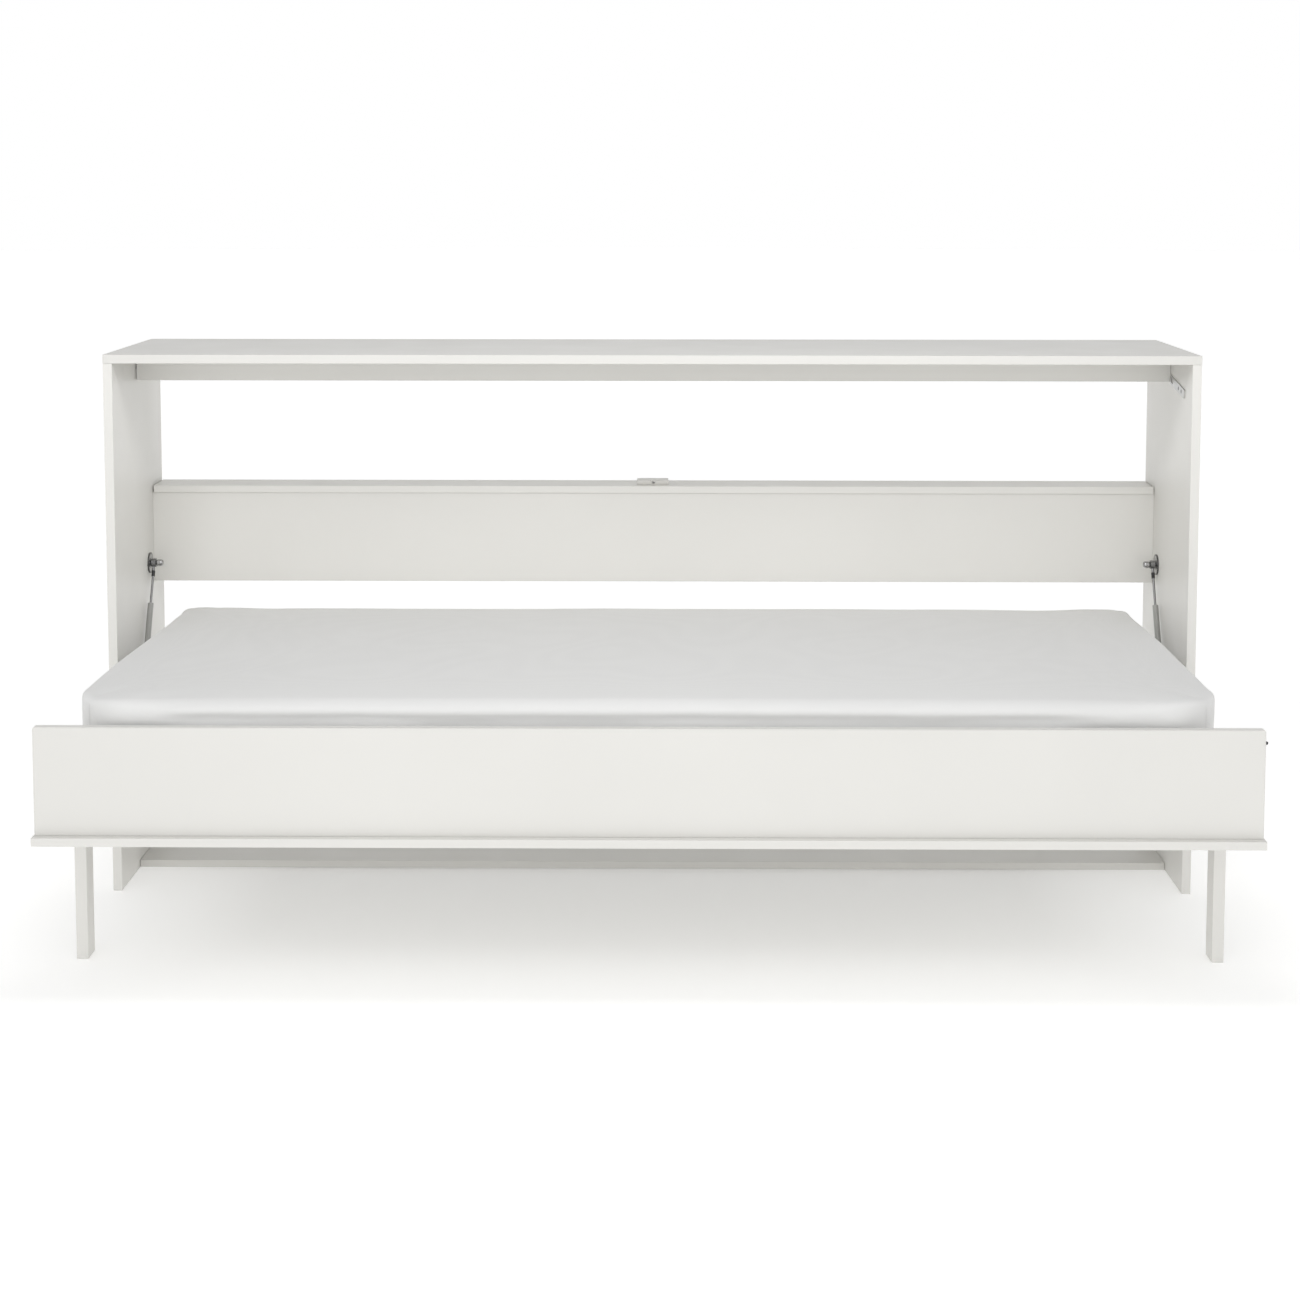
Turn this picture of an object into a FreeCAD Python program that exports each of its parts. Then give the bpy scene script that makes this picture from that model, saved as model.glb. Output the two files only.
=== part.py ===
import FreeCAD, Part
import Sketcher
import math
import os
import re

# Side-folding cabinet bed.  Millimetres, +Z up, X along the cabinet, the
# cabinet's open front towards -Y.  The origin is on the floor, in the middle
# of the opened bed's footprint.

doc = FreeCAD.newDocument("cabinet_bed")
Vec = FreeCAD.Vector
Rot = FreeCAD.Rotation

# ---------------------------------------------------------------- dimensions
sheet = doc.addObject("Spreadsheet::Sheet", "dims")
TABLE = [
    # cabinet
    ("half_width", 1075.0), ("top_height", 1075.0), ("depth", 445.0), ("front_plane", 118.5),
    ("board_thick", 18.0), ("thin_board", 15.0), ("top_overhang", 0.5), ("edge_radius", 0.8), ("tight_edge", 0.3),
    ("top_edge_radius", 1.5), ("side_foot", 0.0),
    ("bottom_setback", 162.0), ("bottom_lift", 1.0), ("bottom_gap", 0.5),
    ("stop_setback", 205.0), ("stop_under", 1006.5), ("stop_left", 1053.5), ("stop_right", 1056.0),
    ("middle_setback", 350.0), ("middle_under", 567.5), ("middle_over", 756.5), ("middle_gap", 0.1),
    ("ledge_setback", 346.0), ("ledge_left", 1054.0), ("ledge_right", 1055.0),
    ("anchor_half", 33.5), ("anchor_front", 375.0), ("anchor_rear", 417.0), ("anchor_tall", 8.5),
    ("anchor_hole", 3.0),
    # bed box
    ("panel_half", 1052.5), ("panel_reach", 682.0), ("panel_rear", 331.0), ("panel_under", 285.0),
    ("rail_half", 1050.0), ("rail_lip", 16.0), ("rail_tall", 189.0), ("rail_corner", 4.0),
    ("rear_rail_front", 268.0), ("rear_rail_tall", 120.0),
    ("end_board_outer", 1019.0), ("end_board_tall", 110.0), ("end_board_front", 648.0),
    ("batten_wide", 24.0), ("batten_top", 345.0), ("batten_half", 984.0),
    ("slat_thick", 15.0), ("slat_wide", 70.0), ("slat_pitch", 143.0), ("slat_front", 640.0), ("slat_rear", 260.0),
    ("slat_under", 345.0), ("rib_centre", 190.0),
    ("mattress_half", 1000.0), ("mattress_front", 640.0), ("mattress_rear", 260.0),
    ("mattress_under", 360.0), ("mattress_thick", 170.0), ("mattress_corner", 60.0), ("mattress_edge", 24.0),
    # turning points, seen from the side
    ("pivot_back", 34.0), ("pivot_up", 319.0), ("pivot_pin", 7.0), ("pivot_bore", 7.05), ("pivot_flange", 28.0),
    ("pivot_flange_thick", 3.0), ("bush_outer", 10.0), ("bush_flange", 14.0), ("bush_flange_thick", 2.5),
    ("inner_half", 1056.5),
    ("strut_back", 306.0), ("strut_up", 613.0), ("strut_low_back", 163.0), ("strut_low_up", 333.0),
    ("strut_plane", 1047.0), ("strut_lean", 27.0538), ("strut_length", 314.402),
    ("disc_radius", 21.5), ("disc_thick", 3.0), ("stud_radius", 4.0), ("stud_bore", 4.05),
    ("ball_radius", 7.0), ("ball_inner", 1027.5), ("ball_outer", 1041.5),
    ("rod_radius", 2.5), ("rod_end", 284.0), ("piston_radius", 4.8), ("piston_thick", 8.0),
    ("eye_radius", 9.0), ("eye_thick", 9.0), ("collar_radius", 3.6), ("collar_start", 18.0), ("collar_tall", 12.0),
    ("tube_radius", 6.0), ("tube_bore", 5.0), ("tube_start", 89.0), ("tube_end", 296.0), ("guide_thick", 5.0), ("guide_bore", 2.55),
    ("tube_cap", 6.0), ("low_eye_thick", 15.4), ("low_eye_bore", 4.1),
    ("bracket_thick", 3.0), ("bracket_deep", 50.0), ("bracket_tall", 36.0), ("low_stud_tip", 1038.5),
    # legs
    ("leg_outer", 1045.0), ("leg_thick", 22.0), ("leg_deep", 50.0), ("leg_front", 418.0), ("leg_tall", 284.7),
    ("leg_edge", 1.5), ("hinge_out", 1019.0), ("hinge_up", 281.0), ("knuckle_radius", 3.5), ("knuckle_bore", 2.04),
    ("hinge_pin", 2.0), ("leaf_thick", 1.5), ("hinge_deep", 40.0), ("leaf_long", 42.0),
    # catch
    ("catch_forward", 657.0), ("catch_up", 465.0), ("catch_radius", 3.0), ("catch_bore", 3.05),
    ("catch_tip", 1055.5), ("catch_root", 1034.0), ("housing_radius", 5.0), ("housing_root", 1010.0),
    ("strike_thick", 2.5), ("strike_tall", 18.0), ("strike_long", 137.0), ("strike_back", 66.5),
    ("strike_up", 993.2), ("strike_tilt", 8.2),
    # fastenings
    ("cam_radius", 7.5), ("cam_deep", 12.5), ("cam_inset", 1026.0), ("bolt_radius", 3.0), ("bolt_root", 1022.0),
    ("bolt_tip", 1068.0), ("dowel_radius", 4.0), ("screw_head", 4.0), ("screw_shank", 2.0), ("screw_cone", 2.0),
    ("drive_radius", 1.4), ("drive_deep", 1.2),
]
WORDS = {}
for n, (word, number) in enumerate(TABLE, 1):
    sheet.set("A%d" % n, word)
    sheet.set("B%d" % n, str(number))
    sheet.setAlias("B%d" % n, word)
    WORDS[word] = number
doc.recompute()


def num(word):
    return float(sheet.get(word))


def expr(text):
    # a size written with the sheet's words, such as "half_width - board_thick"
    return re.sub(r"[a-z][a-z_]*", lambda w: "dims." + w.group(0) if w.group(0) in WORDS else w.group(0), text)


def bind(obj, prop, size):
    if isinstance(size, str):
        obj.setExpression(prop, expr(size))
    else:
        obj.setExpression(prop, repr(float(size)))


def place(obj, x, y, z, axis=None, angle=0.0):
    if axis is not None:
        obj.Placement = FreeCAD.Placement(Vec(0, 0, 0), Rot(Vec(*axis), angle))
    bind(obj, "Placement.Base.x", x)
    bind(obj, "Placement.Base.y", y)
    bind(obj, "Placement.Base.z", z)
    return obj


def add(kind, name):
    obj = doc.addObject(kind, name)
    obj.Label = name
    return obj


def origin_plane(body, role):
    for feature in body.Origin.OriginFeatures:
        if feature.Role == role:
            return feature


# ------------------------------------------------------------------- shapers
def board(name, wide, deep, tall, x, y, z, radius="edge_radius", posts=None, tops=None):
    """A board: outline sketch, pad, optional larger corner rounding, rounded edges."""
    body = add("PartDesign::Body", name)
    sketch = body.newObject("Sketcher::SketchObject", name + "_outline")
    sketch.AttachmentSupport = (origin_plane(body, "XY_Plane"), [""])
    sketch.MapMode = "FlatFace"
    corners = [Vec(0, 0, 0), Vec(200, 0, 0), Vec(200, 100, 0), Vec(0, 100, 0)]
    for i in range(4):
        sketch.addGeometry(Part.LineSegment(corners[i], corners[(i + 1) % 4]), False)
    con = Sketcher.Constraint
    for i in range(4):
        sketch.addConstraint(con("Coincident", i, 2, (i + 1) % 4, 1))
    sketch.addConstraint(con("Horizontal", 0))
    sketch.addConstraint(con("Horizontal", 2))
    sketch.addConstraint(con("Vertical", 1))
    sketch.addConstraint(con("Vertical", 3))
    sketch.addConstraint(con("Coincident", 0, 1, -1, 1))
    w = sketch.addConstraint(con("DistanceX", 0, 1, 0, 2, 200.0))
    d = sketch.addConstraint(con("DistanceY", 1, 1, 1, 2, 100.0))
    sketch.renameConstraint(w, "wide")
    sketch.renameConstraint(d, "deep")
    bind(sketch, "Constraints.wide", wide)
    bind(sketch, "Constraints.deep", deep)
    pad = body.newObject("PartDesign::Pad", name + "_pad")
    pad.Profile = sketch
    pad.Length = 10
    bind(pad, "Length", tall)
    doc.recompute()
    last = pad
    if posts is not None:
        # corners along Z rounded first, with a larger radius
        edges = ["Edge%d" % (i + 1) for i, e in enumerate(pad.Shape.Edges)
                 if abs(e.Vertexes[0].Point.z - e.Vertexes[-1].Point.z) > 1e-6]
        turn = body.newObject("PartDesign::Fillet", name + "_corners")
        turn.Base = (pad, edges)
        bind(turn, "Radius", posts)
        doc.recompute()
        last = turn
    if tops is not None:
        # the two top edges along Y rounded first, at the board's ends
        top = pad.Shape.BoundBox.ZMax
        edges = ["Edge%d" % (i + 1) for i, e in enumerate(pad.Shape.Edges)
                 if abs(e.Vertexes[0].Point.y - e.Vertexes[-1].Point.y) > 1e-6
                 and abs(e.Vertexes[0].Point.z - top) < 1e-6]
        turn = body.newObject("PartDesign::Fillet", name + "_corners")
        turn.Base = (pad, edges)
        bind(turn, "Radius", tops)
        doc.recompute()
        last = turn
    soft = body.newObject("PartDesign::Fillet", name + "_edges")
    soft.Base = (last, ["Edge%d" % (i + 1) for i in range(len(last.Shape.Edges))])
    bind(soft, "Radius", radius)
    body.Tip = soft
    place(body, x, y, z)
    return body


def box(name, wide, deep, tall, x, y, z, axis=None, angle=0.0):
    obj = add("Part::Box", name)
    bind(obj, "Length", wide)
    bind(obj, "Width", deep)
    bind(obj, "Height", tall)
    return place(obj, x, y, z, axis, angle)


# turning +Z onto a row direction
ALONG = {"+X": ((0, 1, 0), 90), "-X": ((0, 1, 0), -90), "+Y": ((1, 0, 0), -90), "-Y": ((1, 0, 0), 90),
         "+Z": ((0, 0, 1), 0), "-Z": ((1, 0, 0), 180)}


def rod(name, radius, long, x, y, z, way="+Z"):
    obj = add("Part::Cylinder", name)
    bind(obj, "Radius", radius)
    bind(obj, "Height", long)
    return place(obj, x, y, z, *ALONG[way])


def cone(name, low, high, long, x, y, z, way="+Z"):
    obj = add("Part::Cone", name)
    bind(obj, "Radius1", low)
    bind(obj, "Radius2", high)
    bind(obj, "Height", long)
    return place(obj, x, y, z, *ALONG[way])


def fuse(name, shapes):
    obj = add("Part::MultiFuse", name)
    obj.Shapes = shapes
    return obj


def group(name, shapes):
    obj = add("Part::Compound", name)
    obj.Links = shapes
    return obj


def cut(name, base, tools):
    if len(tools) > 1:
        tool = group(name + "_holes", tools)
    else:
        tool = tools[0]
    obj = add("Part::Cut", name)
    obj.Base = base
    obj.Tool = tool
    return obj


def screw(name, long, x, y, z, way):
    """A countersunk wood screw; x, y, z is the middle of its head's face and way is where it points."""
    head = cone(name + "_head", "screw_head", "screw_shank", "screw_cone", 0, 0, 0)
    shank = rod(name + "_shank", "screw_shank", long, 0, 0, 0)
    tip = cone(name + "_tip", "screw_shank", 0.4, 3.0, 0, 0, long)
    whole = fuse(name + "_solid", [head, shank, tip])
    drive = add("Part::Prism", name + "_drive")
    drive.Polygon = 6
    bind(drive, "Circumradius", "drive_radius")
    bind(drive, "Height", "drive_deep")
    obj = add("Part::Cut", name)
    obj.Base = whole
    obj.Tool = drive
    place(obj, x, y, z, *ALONG[way])
    # the hole that it fills has no recess
    hole = fuse(name + "_seat", [cone(name + "_seat_head", "screw_head", "screw_shank", "screw_cone", 0, 0, 0),
                                 rod(name + "_seat_shank", "screw_shank", long, 0, 0, 0),
                                 cone(name + "_seat_tip", "screw_shank", 0.4, 3.0, 0, 0, long)])
    place(hole, x, y, z, *ALONG[way])
    return obj, hole


NODES = {}


def node(name, obj):
    if obj.Label != name:
        obj.Label = name
    NODES[name] = obj
    return obj


SIDES = (("left", -1), ("right", 1))


def at(side, size):
    # the same distance on the left or on the right
    return size if side > 0 else "-(%s)" % size


# ---------------------------------------------------- fastenings of the cabinet
cams, bolts, cam_tools = [], [], {"middle_board": [], "bottom_board": [], "stop_rail": []}
bolt_tools = []


def cam(owner, tag, side, y, z, way, seat_y, seat_z):
    lone = rod("cam_bolt_" + tag, "bolt_radius", "bolt_tip - bolt_root",
               at(side, "bolt_root"), y, z, "+X" if side > 0 else "-X")
    bolts.append(lone)
    bolt_tools.append(lone)
    disc = rod("cam_blank_" + tag, "cam_radius", "cam_deep", at(side, "cam_inset"), seat_y, seat_z, way)
    seat = rod("cam_seat_" + tag, "cam_radius", "cam_deep", at(side, "cam_inset"), seat_y, seat_z, way)
    slot = box("cam_slot_" + tag, 9.0, 1.6 if way == "-Y" else 1.4, 1.4 if way == "-Y" else 1.2, 0, 0, 0)
    place(slot, "(%s) - 4.5" % at(side, "cam_inset"),
          "(%s) - 1.4" % seat_y if way == "-Y" else "(%s) - 0.7" % seat_y,
          "(%s) - 0.7" % seat_z if way == "-Y" else "(%s) - 0.0" % seat_z)
    made = cut("cam_lock_" + tag, disc, [lone, slot])
    cams.append(made)
    cam_tools[owner] += [seat, lone]


for side_name, side in SIDES:
    for k, z in enumerate(("middle_under + 48", "middle_over - 48")):
        cam("middle_board", "m%s%d" % (side_name[0], k), side, "front_plane + middle_setback + 9", z,
            "-Y", "front_plane + middle_setback + board_thick", z)
    for k, y in enumerate(("front_plane + bottom_setback + 45", "front_plane + depth - 45")):
        cam("bottom_board", "b%s%d" % (side_name[0], k), side, y, "bottom_lift + 7.5", "+Z", y, "bottom_lift")
    cam("stop_rail", "s%s" % side_name[0], side, "front_plane + stop_setback + 9", "stop_under + 25",
        "-Y", "front_plane + stop_setback + board_thick", "stop_under + 25")

node("cam_locks", group("cam_locks", cams))
node("cam_bolts", group("cam_bolts", bolts))

dowels = []
for side_name, side in SIDES:
    for k, y in enumerate((45.0, 170.0, 295.0, 405.0)):
        dowels.append(rod("dowel_top_%s%d" % (side_name[0], k), "dowel_radius", 28.0,
                          at(side, "half_width - top_overhang - board_thick / 2"),
                          "front_plane + %g" % y, "top_height - board_thick - 16", "+Z"))
    dowels.append(rod("dowel_ledge_%s" % side_name[0], 3.0, 30.0, at(side, "inner_half - 20"),
                      "front_plane + depth - 35", "middle_over + thin_board / 2", "+X" if side > 0 else "-X"))
for k, x in enumerate((-700.0, -240.0, 240.0, 700.0)):
    dowels.append(rod("dowel_stop_%d" % k, "dowel_radius", 28.0, x, "front_plane + stop_setback + 9",
                      "top_height - board_thick - 16", "+Z"))
    dowels.append(rod("dowel_mid_%d" % k, "dowel_radius", 24.0, x, "front_plane + middle_setback + 9",
                      "middle_over - 14", "+Z"))
node("cabinet_dowels", group("cabinet_dowels", dowels))

# ------------------------------------------------------ pivots on the side panels
pivot_screws, pivot_seats = [], []
for side_name, side in SIDES:
    for k, deg in enumerate((90.0, 210.0, 330.0)):
        s, seat = screw("pivot_screw_%s%d" % (side_name[0], k), 13.0, at(side, "inner_half - pivot_flange_thick"),
                        "front_plane + pivot_back + %.4f" % (19.5 * math.cos(math.radians(deg))),
                        "pivot_up + %.4f" % (19.5 * math.sin(math.radians(deg))), "+X" if side > 0 else "-X")
        pivot_screws.append(s)
        pivot_seats.append(seat)
    flange = rod("pivot_flange_" + side_name, "pivot_flange", "pivot_flange_thick",
                 at(side, "inner_half - pivot_flange_thick"), "front_plane + pivot_back", "pivot_up",
                 "+X" if side > 0 else "-X")
    pin = rod("pivot_pin_" + side_name, "pivot_pin", "inner_half - end_board_outer + board_thick + 1",
              at(side, "end_board_outer - board_thick - 1"),
              "front_plane + pivot_back", "pivot_up", "+X" if side > 0 else "-X")
    node("pivot_stud_" + side_name, cut("pivot_stud_" + side_name,
                                        fuse("pivot_blank_" + side_name, [flange, pin]), pivot_seats[-3:]))
node("pivot_screws", group("pivot_screws", pivot_screws))

# --------------------------------------------------- gas strut mounts on the sides
mount_screws, mount_seats = [], []
for side_name, side in SIDES:
    way = "+X" if side > 0 else "-X"
    for k, up in enumerate((-13.5, 13.5)):
        s, seat = screw("mount_screw_%s%d" % (side_name[0], k), 13.0, at(side, "inner_half - disc_thick"),
                        "front_plane + strut_back", "strut_up + %g" % up, way)
        mount_screws.append(s)
        mount_seats.append(seat)
    disc = rod("mount_disc_" + side_name, "disc_radius", "disc_thick", at(side, "inner_half - disc_thick"),
               "front_plane + strut_back", "strut_up", way)
    stud = rod("mount_stud_" + side_name, "stud_radius", "inner_half - ball_outer + 3",
               at(side, "ball_outer - 3"), "front_plane + strut_back", "strut_up", way)
    head = rod("mount_head_" + side_name, "ball_radius", "ball_outer - ball_inner",
               at(side, "ball_inner"), "front_plane + strut_back", "strut_up", way)
    doc.recompute()
    dome = add("Part::Fillet", "mount_dome_" + side_name)
    dome.Base = head
    rims = [i + 1 for i, e in enumerate(head.Shape.Edges) if e.Curve.TypeId == "Part::GeomCircle"]
    outer = [i for i in rims if abs(abs(head.Shape.Edges[i - 1].CenterOfMass.x) - num("ball_outer")) < 1e-3]
    inner = [i for i in rims if i not in outer]
    dome.Edges = [(i, 5.5, 5.5) for i in inner] + [(i, 2.0, 2.0) for i in outer]
    node("strut_mount_" + side_name, cut("strut_mount_" + side_name,
                                         fuse("mount_blank_" + side_name, [disc, stud, dome]), mount_seats[-2:]))
node("strut_mount_screws", group("strut_mount_screws", mount_screws))

# ----------------------------------------------------------- catch on the right
strike_screws, strike_seats = [], []
tilt = num("strike_tilt")
ct, st = math.cos(math.radians(tilt)), math.sin(math.radians(tilt))


def strike_point(along, up=0.0):
    # a point on the strike plate, measured along it from its front end
    return ("front_plane + strike_back + %.4f" % (along * ct - up * st), "strike_up + %.4f" % (along * st + up * ct))


for k, along in enumerate((26.0, 52.5)):
    py, pz = strike_point(along)
    s, seat = screw("strike_screw_%d" % k, 13.0, "inner_half - strike_thick", py, pz, "+X")
    strike_screws.append(s)
    strike_seats.append(seat)
plate = box("strike_blank", "strike_thick", "strike_long", "strike_tall", 0, 0, 0, (1, 0, 0), tilt)
py, pz = strike_point(0.0, -num("strike_tall") / 2)
place(plate, "inner_half - strike_thick", py, pz)
plate.Placement = FreeCAD.Placement(plate.Placement.Base, Rot(Vec(1, 0, 0), tilt))
doc.recompute()
round_plate = add("Part::Fillet", "strike_rounded")
round_plate.Base = plate
long_way = [i + 1 for i, e in enumerate(plate.Shape.Edges)
            if abs(e.Vertexes[0].Point.x - e.Vertexes[-1].Point.x) > 1.0]
round_plate.Edges = [(i, 5.0, 5.0) for i in long_way]
# slot for the sprung pin: two round ends joined
slot_parts = []
for k, along in enumerate((110.7, 118.7)):
    py, pz = strike_point(along)
    slot_parts.append(rod("strike_slot_end%d" % k, 4.5, 6.0, "inner_half - strike_thick - 2", py, pz, "+X"))
py, pz = strike_point(110.7, -4.5)
slot_box = box("strike_slot_mid", 6.0, 8.0, 9.0, 0, 0, 0)
place(slot_box, "inner_half - strike_thick - 2", py, pz)
slot_box.Placement = FreeCAD.Placement(slot_box.Placement.Base, Rot(Vec(1, 0, 0), tilt))
node("latch_strike_plate", cut("latch_strike_plate", round_plate,
                               strike_seats + [fuse("strike_slot", slot_parts + [slot_box])]))
node("latch_strike_screws", group("latch_strike_screws", strike_screws))

# recess behind the slot, for the pin's tip
py, pz = strike_point(114.7)
pin_well = rod("strike_well", 4.0, 6.0, "inner_half - 0.5", py, pz, "+X")

# ------------------------------------------------------------ boards of the cabinet
for side_name, side in SIDES:
    blank = board("side_board_" + side_name, "board_thick", "depth", "top_height - board_thick",
                  "inner_half" if side > 0 else "-inner_half - board_thick", "front_plane", 0.0)
    tools = [o for o in pivot_seats + mount_seats if o.Name.startswith(("pivot_screw_" + side_name[0],
                                                                        "mount_screw_" + side_name[0]))]
    tools += [o for o in bolt_tools if o.Name.startswith(("cam_bolt_m" + side_name[0], "cam_bolt_b" + side_name[0],
                                                          "cam_bolt_s" + side_name[0]))]
    tools += [o for o in dowels if o.Name.startswith(("dowel_top_" + side_name[0], "dowel_ledge_" + side_name[0]))]
    if side > 0:
        tools += strike_seats + [pin_well]
    node("side_panel_" + side_name, cut("side_panel_" + side_name, blank, tools))

blank = board("top_board", "2 * half_width", "depth", "board_thick", "-half_width", "front_plane",
              "top_height - board_thick", "top_edge_radius")
node("top_panel", cut("top_panel", blank, [o for o in dowels if o.Name.startswith(("dowel_top", "dowel_stop"))]))

blank = board("bottom_blank", "2 * (inner_half - bottom_gap)", "depth - bottom_setback", "thin_board",
              "bottom_gap - inner_half", "front_plane + bottom_setback", "bottom_lift")
node("bottom_board", cut("bottom_board", blank, cam_tools["bottom_board"]))

blank = board("stop_blank", "stop_left + stop_right", "board_thick", "top_height - board_thick - stop_under",
              "-stop_left", "front_plane + stop_setback", "stop_under")
node("stop_rail", cut("stop_rail", blank, cam_tools["stop_rail"]
                      + [o for o in dowels if o.Name.startswith("dowel_stop")]))

blank = board("middle_blank", "2 * (inner_half - middle_gap)", "board_thick", "middle_over - middle_under",
              "middle_gap - inner_half", "front_plane + middle_setback", "middle_under", "tight_edge")
node("middle_board", cut("middle_board", blank, cam_tools["middle_board"]
                         + [o for o in dowels if o.Name.startswith("dowel_mid")]))

anchor_screws, anchor_seats = [], []
for k, x in enumerate((-22.0, 22.0)):
    s, seat = screw("anchor_screw_%d" % k, 17.0, x, "front_plane + (anchor_front + anchor_rear) / 2",
                    "middle_over", "+Z")
    anchor_screws.append(s)
    anchor_seats.append(seat)
node("wall_anchor_screws", group("wall_anchor_screws", anchor_screws))
blank = board("ledge_blank", "ledge_left + ledge_right", "depth - ledge_setback", "thin_board",
              "-ledge_left", "front_plane + ledge_setback", "middle_over")
node("ledge_board", cut("ledge_board", blank, anchor_seats
                        + [o for o in dowels if o.Name.startswith(("dowel_mid", "dowel_ledge"))]))
blank = board("anchor_blank", "2 * anchor_half", "anchor_rear - anchor_front", "anchor_tall",
              "-anchor_half", "front_plane + anchor_front", "middle_over + thin_board")
anchor_bore = rod("anchor_bore", "anchor_hole", "anchor_rear - anchor_front + 4", 1.5,
                  "front_plane + anchor_front - 2", "middle_over + thin_board + anchor_tall / 2", "+Y")
node("wall_anchor_block", cut("wall_anchor_block", blank, anchor_seats + [anchor_bore]))

# ------------------------------------------------------------------- the bed box
bed_dowels = []
for k, x in enumerate((-900.0, -540.0, -180.0, 180.0, 540.0, 900.0)):
    bed_dowels.append(rod("bdowel_front_%d" % k, "dowel_radius", 26.0, x,
                          "front_plane - panel_reach + rail_lip + 9", "panel_under + 5", "+Z"))
    bed_dowels.append(rod("bdowel_rear_%d" % k, "dowel_radius", 26.0, x,
                          "front_plane + rear_rail_front + 9", "panel_under + 5", "+Z"))
for k, x in enumerate((-820.0, -280.0, 280.0, 820.0)):
    bed_dowels.append(rod("bdowel_rib_%d" % k, "dowel_radius", 26.0, x,
                          "front_plane - rib_centre", "panel_under + 5", "+Z"))
for side_name, side in SIDES:
    tag = side_name[0]
    for k, y in enumerate((-560.0, -330.0, -100.0, 140.0)):
        bed_dowels.append(rod("bdowel_end_%s%d" % (tag, k), "dowel_radius", 26.0,
                              at(side, "end_board_outer - board_thick / 2"), "front_plane + %g" % y,
                              "panel_under + 5", "+Z"))
    for k, z in enumerate((340.0, 385.0)):
        bed_dowels.append(rod("bdowel_cf_%s%d" % (tag, k), "dowel_radius", 30.0,
                              at(side, "end_board_outer - board_thick / 2"),
                              "front_plane - end_board_front - 12", z, "+Y"))
        bed_dowels.append(rod("bdowel_cr_%s%d" % (tag, k), "dowel_radius", 30.0,
                              at(side, "end_board_outer - board_thick / 2"),
                              "front_plane + rear_rail_front - 18", z, "+Y"))
node("bed_dowels", group("bed_dowels", bed_dowels))


def dowel_tools(*starts):
    return [o for o in bed_dowels if o.Name.startswith(starts)]


# leg hinges: two leaves on a pin, each leaf with its own knuckles
leaf_screws_bed, leaf_seats_bed = [], []
bed_leaves, hinge_pins = [], []
for side_name, side in SIDES:
    tag = side_name[0]
    front = "front_plane - leg_front + (leg_deep - hinge_deep) / 2"
    bed_knuckles, leg_knuckles = [], []
    for k in range(5):
        one = rod("knuckle_%s%d" % (tag, k), "knuckle_radius", "hinge_deep / 5 - 0.3", at(side, "hinge_out"),
                  front + " + %d * hinge_deep / 5 + 0.15" % k, "hinge_up", "+Y")
        (bed_knuckles if k % 2 == 0 else leg_knuckles).append(one)
    leaf = box("bed_leaf_plate_" + tag, "leaf_long", "hinge_deep", "leaf_thick", 0, 0, 0)
    place(leaf, "hinge_out - leaf_long" if side > 0 else "-hinge_out", front, "panel_under - leaf_thick")
    bore = rod("leaf_bore_bed_" + tag, "knuckle_bore", "hinge_deep + 4", at(side, "hinge_out"), front + " - 2",
               "hinge_up", "+Y")
    gaps = [box("bed_leaf_gap_%s%d" % (tag, k), 8.0, "hinge_deep / 5 + 0.3", 8.0,
                "(%s) - 4" % at(side, "hinge_out"), front + " + %d * hinge_deep / 5 - 0.15" % k, "hinge_up - 4")
            for k in (1, 3)]
    for k, (dx, dy) in enumerate(((28.0, 8.0), (28.0, 32.0), (14.0, 20.0))):
        s, seat = screw("leaf_screw_bed_%s%d" % (tag, k), 8.5, at(side, "hinge_out - %g" % dx),
                        front + " + %g" % dy, "panel_under - leaf_thick", "+Z")
        leaf_screws_bed.append(s)
        leaf_seats_bed.append(seat)
    bed_leaves.append(cut("bed_leaf_" + tag, fuse("bed_leaf_blank_" + tag, [leaf] + bed_knuckles),
                          [bore] + gaps + leaf_seats_bed[-3:]))
    hinge_pins.append(rod("hinge_pin_" + tag, "hinge_pin", "hinge_deep", at(side, "hinge_out"), front,
                          "hinge_up", "+Y"))
    # leaf on the leg
    plate = box("leg_leaf_plate_" + tag, "leaf_thick", "hinge_deep", "leaf_long", 0, 0, 0)
    place(plate, "leg_outer - leg_thick - leaf_thick" if side > 0 else "leg_thick - leg_outer",
          front, "hinge_up - leaf_long")
    bore2 = rod("leaf_bore_leg_" + tag, "knuckle_bore", "hinge_deep + 4", at(side, "hinge_out"), front + " - 2",
                "hinge_up", "+Y")
    gaps2 = [box("leg_leaf_gap_%s%d" % (tag, k), 8.0, "hinge_deep / 5 + (%s)" % (0.15 if k in (0, 4) else 0.3), 8.0,
                 "(%s) - 4" % at(side, "hinge_out"),
                 front + " + %d * hinge_deep / 5 - (%s)" % (k, 0.0 if k == 0 else 0.15), "hinge_up - 4")
             for k in (0, 2, 4)]
    leg_screws, leg_seats = [], []
    for k, (dz, dy) in enumerate(((28.0, 8.0), (28.0, 32.0), (14.0, 20.0))):
        s, seat = screw("leaf_screw_leg_%s%d" % (tag, k), 13.0,
                        at(side, "leg_outer - leg_thick - leaf_thick"), front + " + %g" % dy,
                        "hinge_up - %g" % dz, "+X" if side > 0 else "-X")
        leg_screws.append(s)
        leg_seats.append(seat)
    node("leg_hinge_leaf_" + side_name, cut("leg_hinge_leaf_" + side_name,
                                            fuse("leg_leaf_blank_" + tag, [plate] + leg_knuckles),
                                            [bore2] + gaps2 + leg_seats))
    node("leg_hinge_screws_" + side_name, group("leg_hinge_screws_" + side_name, leg_screws))
    blank = board("leg_blank_" + side_name, "leg_thick", "leg_deep", "leg_tall",
                  "leg_outer - leg_thick" if side > 0 else "-leg_outer", "front_plane - leg_front", 0.0,
                  "leg_edge")
    node("leg_" + side_name, cut("leg_" + side_name, blank, leg_seats))
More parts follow.
